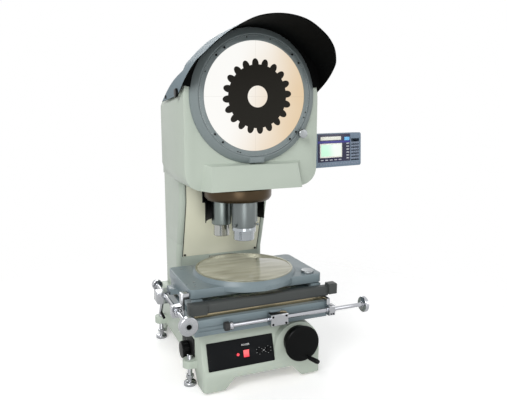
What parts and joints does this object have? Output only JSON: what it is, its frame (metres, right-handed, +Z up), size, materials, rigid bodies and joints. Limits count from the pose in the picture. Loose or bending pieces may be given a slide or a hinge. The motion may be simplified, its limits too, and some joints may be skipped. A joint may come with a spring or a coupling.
{
  "type": "profile projector",
  "caption": "Vertical bench profile projector with a hooded round screen, rotating scale ring, lens turret, cross-slide glass stage, lift handwheel and swivelling digital readout.",
  "frame": {"origin": "on the bench plane, straight under the optical axis of the lens in use", "axes": "+X to the user's right, +Y to the rear, +Z up along the optical axis"},
  "size_m": [0.7981, 0.7513, 1.1939],
  "materials": {
    "casting_paint": "satin pale grey-green enamel on castings",
    "head_paint": "satin pale grey-green enamel on light-alloy castings",
    "slide_paint": "satin blue-grey enamel on slides",
    "scale_ring_paint": "blue-grey satin ring",
    "hood_sheet": "blue-grey sheet outside, matt black inside",
    "panel_black": "matt black sheet",
    "black_plastic": "moulded black",
    "red_plastic": "translucent red rocker",
    "handwheel_black": "satin black",
    "encoder_black": "black anodised",
    "optical_glass": "coated lens glass",
    "lamp_sheet": "plain sheet",
    "steel": "machined",
    "guideway": "ground and oiled",
    "chrome": "bright",
    "silver": "satin",
    "stage_glass": "clear plate glass",
    "mirror": "front-silvered",
    "screen_glass": "fine-ground translucent screen",
    "turret_bronze": "dark bronze satin",
    "readout_case": "light grey",
    "readout_face": "dark blue membrane with display window"
  },
  "bodies": {
    "frame": {"base_casting": "casting_paint", "control_panel": "panel_black", "panel_fittings": "black_plastic", "side_plate": "panel_black", "mains_inlet": "black_plastic", "condenser": "optical_glass", "lamp_unit": "lamp_sheet", "fixing_screws": "steel", "lift_guide": "steel", "column_lower": "casting_paint", "column_upper": "casting_paint", "column_cover": "casting_paint", "head_casting": "head_paint", "rear_cover": "head_paint", "mirrors": "mirror", "mirror_frames": "lamp_sheet", "hood": "hood_sheet", "fixed_ring": "head_paint", "vernier_plate": "silver", "turret_mount": "turret_bronze", "turret_skirt": "encoder_black", "arm_bracket": "encoder_black"},
    "foot_front_left": {"levelling_foot_front_left": "chrome"},
    "foot_front_right": {"levelling_foot_front_right": "chrome"},
    "foot_rear_left": {"levelling_foot_rear_left": "chrome"},
    "foot_rear_right": {"levelling_foot_rear_right": "chrome"},
    "rocker": {"power_rocker": "red_plastic"},
    "side_control": {"side_knob": "black_plastic"},
    "handwheel": {"handwheel": "handwheel_black"},
    "wheel_grip": {"handwheel_grip": "black_plastic"},
    "lift_screw": {"lift_screw": "steel"},
    "carriage": {"z_carriage": "slide_paint", "x_guideway": "guideway", "x_nut_block": "chrome"},
    "x_slide": {"x_slide": "slide_paint", "x_encoder": "encoder_black", "x_bracket": "chrome", "y_nut_block": "chrome"},
    "x_rod": {"x_rod": "chrome"},
    "y_slide": {"stage_plate": "slide_paint", "stage_rim": "chrome", "stage_glass": "stage_glass", "stage_fittings": "chrome", "y_bracket": "chrome"},
    "y_rod": {"y_rod": "chrome"},
    "hood_knob_left": {"hood_knob_left": "black_plastic"},
    "hood_knob_right": {"hood_knob_right": "black_plastic"},
    "screen": {"scale_ring": "scale_ring_paint", "screen_glass": "screen_glass", "screen_clips": "silver"},
    "ring_lock": {"ring_lock_knob": "silver"},
    "turret": {"turret_disc": "turret_bronze", "objective_front": "silver", "objective_right": "silver", "objective_left": "silver", "objective_lenses": "optical_glass"},
    "readout_arm": {"readout_arm": "encoder_black"},
    "readout": {"readout_housing": "readout_case", "readout_rear_cover": "readout_case", "readout_face": "readout_face"}
  },
  "joints": [
    {"name": "stage_lift", "type": "slide", "parent": "frame", "child": "carriage", "axis": [0, 0, 1], "range_m": [0, 0.08]},
    {"name": "handwheel_turn", "type": "hinge", "parent": "frame", "child": "handwheel", "pos_m": [0.126, -0.215, 0.139], "axis": [0, 1, 0], "range_deg": [-2, 2882]},
    {"name": "lift_screw_turn", "type": "hinge", "parent": "frame", "child": "lift_screw", "pos_m": [0.126, 0.152, 0.139], "axis": [0, 0, 1], "range_deg": [-2882, 2]},
    {"name": "grip_spin", "type": "hinge", "parent": "handwheel", "child": "wheel_grip", "pos_m": [0.14145, -0.222, 0.09145], "axis": [0.4215, -0.9033, -0.0803], "continuous": true},
    {"name": "x_travel", "type": "slide", "parent": "carriage", "child": "x_slide", "axis": [1, 0, 0], "range_m": [-0.13, 0.02]},
    {"name": "x_rod_turn", "type": "hinge", "parent": "x_slide", "child": "x_rod", "pos_m": [0, -0.2, 0.238], "axis": [1, 0, 0], "range_deg": [-722, 4682]},
    {"name": "y_travel", "type": "slide", "parent": "x_slide", "child": "y_slide", "axis": [0, 1, 0], "range_m": [-0.055, 0.03]},
    {"name": "y_rod_turn", "type": "hinge", "parent": "y_slide", "child": "y_rod", "pos_m": [-0.28, 0, 0.281], "axis": [0, 1, 0], "range_deg": [-1082, 1982]},
    {"name": "screen_turn", "type": "hinge", "parent": "frame", "child": "screen", "pos_m": [0, -0.111, 0.963], "axis": [0, -1, 0], "continuous": true},
    {"name": "ring_lock_turn", "type": "hinge", "parent": "frame", "child": "ring_lock", "pos_m": [0.16479, -0.112, 0.84106], "axis": [0, -1, 0], "range_deg": [-90, 180]},
    {"name": "turret_turn", "type": "hinge", "parent": "frame", "child": "turret", "pos_m": [0, 0.06, 0.625], "axis": [0, 0, 1], "continuous": true},
    {"name": "hood_knob_left_turn", "type": "hinge", "parent": "frame", "child": "hood_knob_left", "pos_m": [-0.243, -0.048, 0.974], "axis": [-1, 0, 0], "continuous": true},
    {"name": "hood_knob_right_turn", "type": "hinge", "parent": "frame", "child": "hood_knob_right", "pos_m": [0.243, -0.048, 0.974], "axis": [1, 0, 0], "continuous": true},
    {"name": "power_rocker_tip", "type": "hinge", "parent": "frame", "child": "rocker", "pos_m": [-0.06, -0.16617, 0.11674], "axis": [1, 0, 0], "range_deg": [-12, 0]},
    {"name": "side_knob_turn", "type": "hinge", "parent": "frame", "child": "side_control", "pos_m": [-0.214, -0.02, 0.098], "axis": [-1, 0, 0], "range_deg": [-135, 135]},
    {"name": "readout_swivel", "type": "hinge", "parent": "frame", "child": "readout_arm", "pos_m": [0.276, 0.078, 0.77], "axis": [0, 0, 1], "range_deg": [-8, 50]},
    {"name": "readout_tilt", "type": "hinge", "parent": "readout_arm", "child": "readout", "pos_m": [0.36973, 0.05921, 0.76717], "axis": [0.988, 0.1547, 0], "range_deg": [-12, 15]},
    {"name": "foot_front_left_turn", "type": "hinge", "parent": "frame", "child": "foot_front_left", "pos_m": [-0.232, -0.086, 0.05], "axis": [0, 0, 1], "continuous": true},
    {"name": "foot_front_right_turn", "type": "hinge", "parent": "frame", "child": "foot_front_right", "pos_m": [0.232, -0.086, 0.05], "axis": [0, 0, 1], "continuous": true},
    {"name": "foot_rear_left_turn", "type": "hinge", "parent": "frame", "child": "foot_rear_left", "pos_m": [-0.232, 0.33, 0.05], "axis": [0, 0, 1], "continuous": true},
    {"name": "foot_rear_right_turn", "type": "hinge", "parent": "frame", "child": "foot_rear_right", "pos_m": [0.232, 0.33, 0.05], "axis": [0, 0, 1], "continuous": true}
  ],
  "couplings": [
    {"joint": "handwheel_turn", "follows": "stage_lift", "rad_per_m": 628.32},
    {"joint": "lift_screw_turn", "follows": "stage_lift", "rad_per_m": -628.32},
    {"joint": "x_rod_turn", "follows": "x_travel", "rad_per_m": -628.32},
    {"joint": "y_rod_turn", "follows": "y_travel", "rad_per_m": -628.32}
  ]
}
